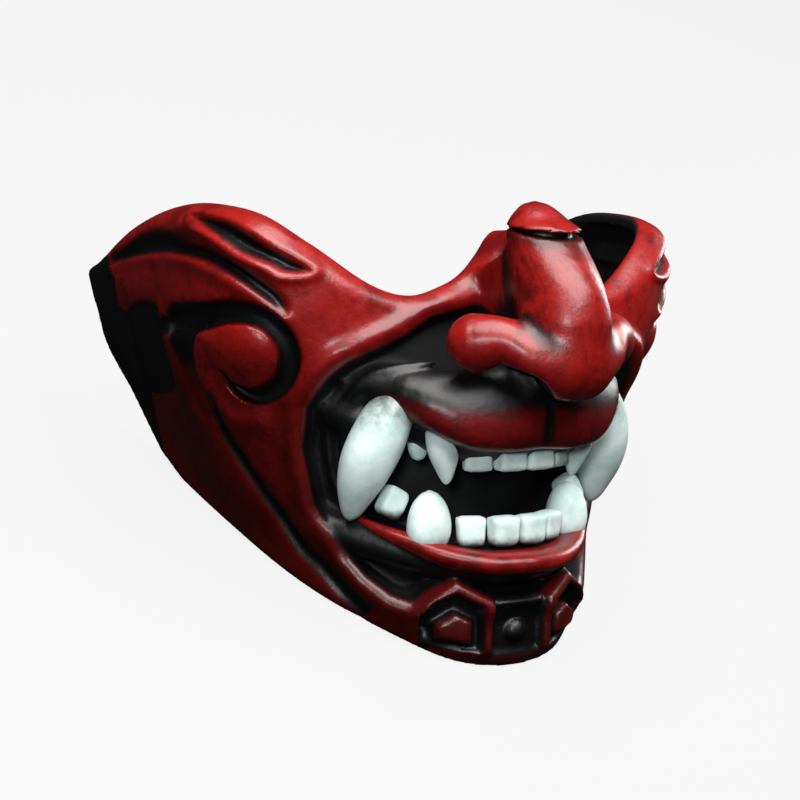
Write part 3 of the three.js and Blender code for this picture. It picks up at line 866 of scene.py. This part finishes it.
paint = {
    "faces": 190000,
    "overlap": 12,    # cells past the middle, for the blur
    "creaseReach": 1.7,    # how far around a place its walls are felt
    "dipReach": 4.5,
    "crease": (0.57, 0.75),    # how enclosed a place is where the painted shade in creases starts and is full
    "dip": (0.58, 0.82),
    "dipBlack": 0.85,
    "behind": (-8.5, -11),    # depth under the front where the hollow's black starts
    "inner": (-2.2, -3.4),    # the same on the wall's inside, away from the upper edge
    "pastEdge": (-9, -14),
    "inward": (0.2, 1),    # how far a step off the surface leads inwards
    "step": 1.5,
    # strength of each painted shade that darkens the red, towards the ears, near the rim, under the chin and
    # towards the bottom, and where it starts and is full
    "earShade": (0.75, (92, 122), (22, 4)),
    "rimShade": (0.6, (-26, -4), (10, -20)),
    "chinShade": (1.6, (-92, -99)),
    "lowShade": (0.5, (4, -34), (0.2, 1.5), (-42, -38)),
}


def enclosure(field, base, edge, half):    # how much solid lies around each point, near it and wider
    solid = np.clip(0.5 - field / cell, 0, 1).astype(np.float32)
    solid = np.maximum(solid, np.clip(0.5 - (base + 3) / cell, 0, 1) * (edge < -10))
    padded = mirrored(solid)[len(xs) - paint["overlap"]:]
    low = np.array([-xs[paint["overlap"] - 1], ys[0], zs[0]], float)
    near = blurred(padded, max(1, round(paint["creaseReach"] / cell)))
    wider = blurred(padded, max(2, round(paint["dipReach"] / cell)))
    return sample(near, half, low, cell), sample(wider, half, low, cell)


def faceShell():
    field, base, edge, red, black, dark, rim = buildShell()
    points, faces = skin(mirrored(field), np.array([-xs[-1], ys[0], zs[0]], float), cell)
    print("skin", len(points), "points")
    piece = makeObject("face_shell_lacquer", points, faces, redLacquer, limit=paint["faces"])
    x, y, z = fromGround(piece).T
    half = np.stack([np.abs(x), y, z], -1)
    low = np.array([xs[0], ys[0], zs[0]], float)
    crease, dip = enclosure(field, base, edge, half)
    depth = sample(base, half, low, cell)
    redness = sample(red, half, low, cell)

    blackPaintAndCreaseShade = sample(onShell(black), half, low, cell) * smooth(0.2, 0.9, redness)
    # painted shade: black in creases and recesses, by how enclosed each place is, added to the black paint
    # drawn in the grooves
    blackPaintAndCreaseShade = np.maximum(blackPaintAndCreaseShade, smooth(*paint["crease"], crease))
    blackPaintAndCreaseShade = np.maximum(blackPaintAndCreaseShade, smooth(*paint["dip"], dip) * paint["dipBlack"])
    blackPaintAndCreaseShade = np.maximum(blackPaintAndCreaseShade, sample(dark, half, low, cell))
    behind = smooth(*paint["behind"], depth) * (redness > 3)
    inner = smooth(*paint["inner"], depth) * smooth(*paint["pastEdge"], sample(edge, half, low, cell))
    hollow = np.maximum(behind, inner * (redness > 2))
    nx, ny, nz = readPoints(piece, "normal")
    upright = unleaned(nx * np.where(x < 0, -1, 1), ny, nz)
    inward = depth - sample(base, half + upright * paint["step"], low, cell)
    hollow = np.maximum(hollow, smooth(*paint["inward"], inward) * smooth(-2.4, -3.4, depth) * (redness > 2))

    # painted shade: the red is made darker towards the ears, near the rim, under the chin and low down
    strength, lengths, heights = paint["earShade"]
    around = np.arctan2(half[:, 0], pose["axisDepth"] - y) * pose["unrollRadius"]
    shade = strength * smooth(*lengths, around) * smooth(*heights, z)
    strength, reach, heights = paint["rimShade"]
    fromRim = sample(np.broadcast_to(rim, field.shape), half, low, cell)
    shade = np.maximum(shade, strength * smooth(*reach, fromRim) * smooth(*heights, z))
    strength, heights = paint["chinShade"]
    shade = np.maximum(shade, strength * smooth(*heights, z))
    strength, heights, offRed, underRed = paint["lowShade"]
    where = np.maximum(smooth(*offRed, redness), smooth(*underRed, z))
    shade = shade + strength * smooth(*heights, z) * where
    paintValue(piece, "shade", shade)
    # black paint in the grooves and inside, and painted shade in creases and recesses
    paintValue(piece, "blackPaintAndCreaseShade", np.clip(np.maximum(blackPaintAndCreaseShade, hollow), 0, 1))
    paintValue(piece, "hollow", np.clip(hollow, 0, 1))
    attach(piece, "root")
    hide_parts("face_shell")


faceShell()
print("face shell")


# ---- teeth: sections from root to tip as height, x, y, half width, half depth

teeth = {
    "tusk": {"square": 2.0, "sections": [
        (-13, 38.2, -49, 1, 1), (-15, 38.8, -48.8, 4.6, 4.6), (-19, 39.8, -48, 7.6, 7.6),
        (-26, 42, -46.2, 9, 9), (-34, 44, -43.8, 9.2, 9.2), (-42, 45.4, -41, 7.7, 7.7),
        (-49, 46.2, -38.2, 5, 5), (-53.4, 46.5, -36.6, 2.6, 2.6), (-55, 46.6, -36, 0.6, 0.6)]},
    "upper_canine": {"square": 2.0, "sections": [
        (-21, 26, -54, 2, 2), (-24, 25.8, -54.4, 4.8, 4), (-29, 25.6, -55, 5.4, 4.6),
        (-34, 25.4, -55.6, 4.9, 4.1), (-39, 24.6, -55.4, 3, 2.6), (-42, 24.1, -55.1, 1.5, 1.4),
        (-43.2, 24, -55, 0.4, 0.4)]},
    "lower_canine": {"square": 2.0, "sections": [
        (-66.5, 26.4, -48.4, 2, 2), (-63.5, 26.4, -48.8, 5.2, 4.4), (-59.6, 26.4, -49.2, 7, 5.8),
        (-54.6, 26.4, -49.4, 7.1, 5.9), (-49.6, 26.4, -49.4, 5.5, 4.6), (-46.6, 26.3, -49.3, 3, 2.6),
        (-45.4, 26.2, -49.2, 0.6, 0.6)]},
    "upper_molar": {"square": 2.6, "sections": [
        (-26, 29, -46.5, 1, 1), (-28, 29, -46.5, 2.8, 2.6), (-32, 29, -46.5, 3, 2.8),
        (-35.4, 28.8, -46.5, 2, 1.8), (-36.4, 28.8, -46.5, 0.5, 0.5)]},
    "lower_molar": {"square": 4.0, "lean": 0.52, "sections": [
        (-54.6, 33.7, -40, 2.6, 2.2), (-53.4, 33.7, -40, 3.8, 3.3), (-49.5, 33.7, -40, 4.1, 3.6),
        (-46.4, 33.7, -40, 3.9, 3.2), (-45.1, 33.7, -40, 2.8, 2.2), (-44.9, 33.7, -40, 0.6, 0.6)]},
}
cutting = {
    # place across, depth, half width and turn of the inner and the outer tooth
    "upper": {"root": -27, "tip": -39.4, "places": [(5.2, -62.2, 4.9, 0.06), (14.6, -58, 4.4, 0.42)]},
    "lower": {"root": -63, "tip": -53.4, "places": [(5.1, -58.8, 4.9, 0.06), (14.6, -54.8, 4.5, 0.4)]},
    "depth": 3.4,
    "square": 5.0,
    # share of the way to the tip, and of the width and depth there
    "profile": [(0, 0.5, 0.5), (0.1, 0.86, 0.8), (0.6, 0.96, 1), (0.86, 1, 1), (0.96, 0.93, 0.72),
                (1, 0.6, 0.35)],
}
rootShare = 0.55    # share of a tooth that the painted shade at its root reaches


def toothMesh(sections, square, turn):
    sections = np.asarray(sorted(sections), float)
    heights, middle, reach = sections[:, 0], sections[:, 1:3], sections[:, 3:]
    step = 0.5
    low = np.array([*(middle - reach).min(0), heights[0]]) - 2
    high = np.array([*(middle + reach).max(0), heights[-1]]) + 2
    axes = [np.arange(a, b, step) for a, b in zip(low, high)]
    x, y, z = axes[0][:, None, None], axes[1][None, :, None], axes[2][None, None, :]
    cx, cy, halfWidth, halfDepth = through(sections, z.ravel())
    dx = (x - cx) * math.cos(turn) + (y - cy) * math.sin(turn)
    dy = -(x - cx) * math.sin(turn) + (y - cy) * math.cos(turn)
    level = (np.abs(dx / halfWidth) ** square + np.abs(dy / halfDepth) ** square) ** (1 / square) - 1
    slope = np.gradient(level, step)
    level = level / np.maximum(np.sqrt(slope[0] ** 2 + slope[1] ** 2 + slope[2] ** 2), 0.02)
    level = np.maximum(level, np.maximum(z - heights[-1], heights[0] - z))
    return skin(level, low, step)


def tooth(name, sections, square, side, turn=0.0, lean=0.0):
    points, faces = toothMesh(sections, square, turn)
    middle = np.mean([(row[1], row[0]) for row in sections], axis=0)
    across, up = points[:, 0] - middle[0], points[:, 2] - middle[1]
    points[:, 0] = middle[0] + across * math.cos(lean) - up * math.sin(lean)
    points[:, 2] = middle[1] + across * math.sin(lean) + up * math.cos(lean)
    if side < 0:
        points = points * (-1, 1, 1)
        faces = faces[:, ::-1]
    piece = makeObject(name + "_ivory", points, faces, ivory)
    places = fromGround(piece)
    rootHeight, tipHeight = sections[0][0], sections[-1][0]
    share = (places[:, 2] - rootHeight) / (tipHeight - rootHeight)
    # painted shade, strongest at the root
    paintValue(piece, "root", np.clip(1 - share / rootShare, 0, 1))
    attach(piece, "root")
    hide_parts(name)


for sideName, side in (("right", -1), ("left", 1)):
    for kind, form in teeth.items():
        tooth(f"{kind}_{sideName}", form["sections"], form["square"], side, lean=form.get("lean", 0))
for rowName in ("upper", "lower"):
    row = cutting[rowName]
    inner, outer = row["places"]
    rise = row["tip"] - row["root"]
    for number, (place, side) in enumerate(((outer, -1), (inner, -1), (inner, 1), (outer, 1)), 1):
        x, y, halfWidth, turn = place
        sections = []
        for share, wide, deep in cutting["profile"]:
            sections.append((row["root"] + rise * share, x, y, halfWidth * wide, cutting["depth"] * deep))
        tooth(f"{rowName}_incisor_{number}", sections, cutting["square"], side, turn)
print("teeth")


# ---- floor, lights and camera

studio = {
    "azimuth": -32.5, "elevation": 4.4, "roll": 0.5, "distance": 620, "target": (-11, -8, -21), "lens": 85,
    "floor": 6.0,
    "lights": [
        # name, place from the target in the upright frame (mm), width and height (m), power (W), tint
        ("top", (-40, -360, 580), (0.7, 0.7), 15.5, (1, 0.98, 0.96)),
        ("rightRear", (610, 90, 230), (0.1, 0.34), 1.5, (1, 1, 1)),
        ("front", (-480, -600, 160), (0.12, 0.12), 2.3, (0.95, 0.98, 1)),
    ],
}


def cameraMatrix():
    azimuth, elevation, roll = (math.radians(studio[key]) for key in ("azimuth", "elevation", "roll"))
    flat = math.cos(elevation)
    back = Vector((math.sin(azimuth) * flat, -math.cos(azimuth) * flat, math.sin(elevation)))
    level = Vector((math.cos(azimuth), math.sin(azimuth), 0))
    upward = back.cross(level)
    right = math.cos(roll) * level + math.sin(roll) * upward
    top = -math.sin(roll) * level + math.cos(roll) * upward
    place = Vector(studio["target"]) + back * studio["distance"]
    axes = Matrix((right, top, back)).transposed()
    leaned = Matrix.Rotation(-math.radians(pose["leanBack"]), 3, "X") @ axes
    matrix = leaned.to_4x4()
    matrix.translation = Vector(toGround([place])[0])
    return matrix


lensData = bpy.data.cameras.new("view")
lensData.lens = studio["lens"]
lensData.sensor_width = 36
viewCamera = bpy.data.objects.new("view", lensData)
bpy.context.scene.collection.objects.link(viewCamera)
viewCamera.matrix_world = cameraMatrix()
bpy.context.scene.camera = viewCamera

aim = Vector(toGround([studio["target"]])[0])
for name, place, size, power, tint in studio["lights"]:
    lamp = bpy.data.lights.new(name, "AREA")
    lamp.shape = "RECTANGLE"
    lamp.size, lamp.size_y = size
    lamp.energy = power
    lamp.color = tint
    holder = bpy.data.objects.new(name, lamp)
    bpy.context.scene.collection.objects.link(holder)
    holder.location = Vector(toGround([np.array(studio["target"]) + place])[0])
    holder.rotation_euler = (holder.location - aim).to_track_quat("Z", "Y").to_euler()

world = bpy.data.worlds.new("room")
world.use_nodes = True
world.node_tree.nodes["Background"].inputs["Color"].default_value = (0.9, 0.95, 1, 1)
world.node_tree.nodes["Background"].inputs["Strength"].default_value = 0.02
bpy.context.scene.world = world

floorMesh = bpy.data.meshes.new("floor")
reach = studio["floor"] / 2
corners = [(-reach, -reach, 0), (reach, -reach, 0), (reach, reach, 0), (-reach, reach, 0)]
floorMesh.from_pydata(corners, [], [(0, 1, 2, 3)])
floor = bpy.data.objects.new("floor", floorMesh)
bpy.context.scene.collection.objects.link(floor)
paper = Finish("pale_floor", {"Base Color": (0.03, 0.03, 0.03, 1), "Roughness": 1, "Specular IOR Level": 0,
                              "Emission Strength": 0.86, "Emission Color": (1, 1, 1, 1)})
floorMesh.materials.append(paper.material)
floor.visible_glossy = False
floor.visible_diffuse = False
bpy.context.scene.view_settings.view_transform = "Standard"
print("floor, lights and camera")
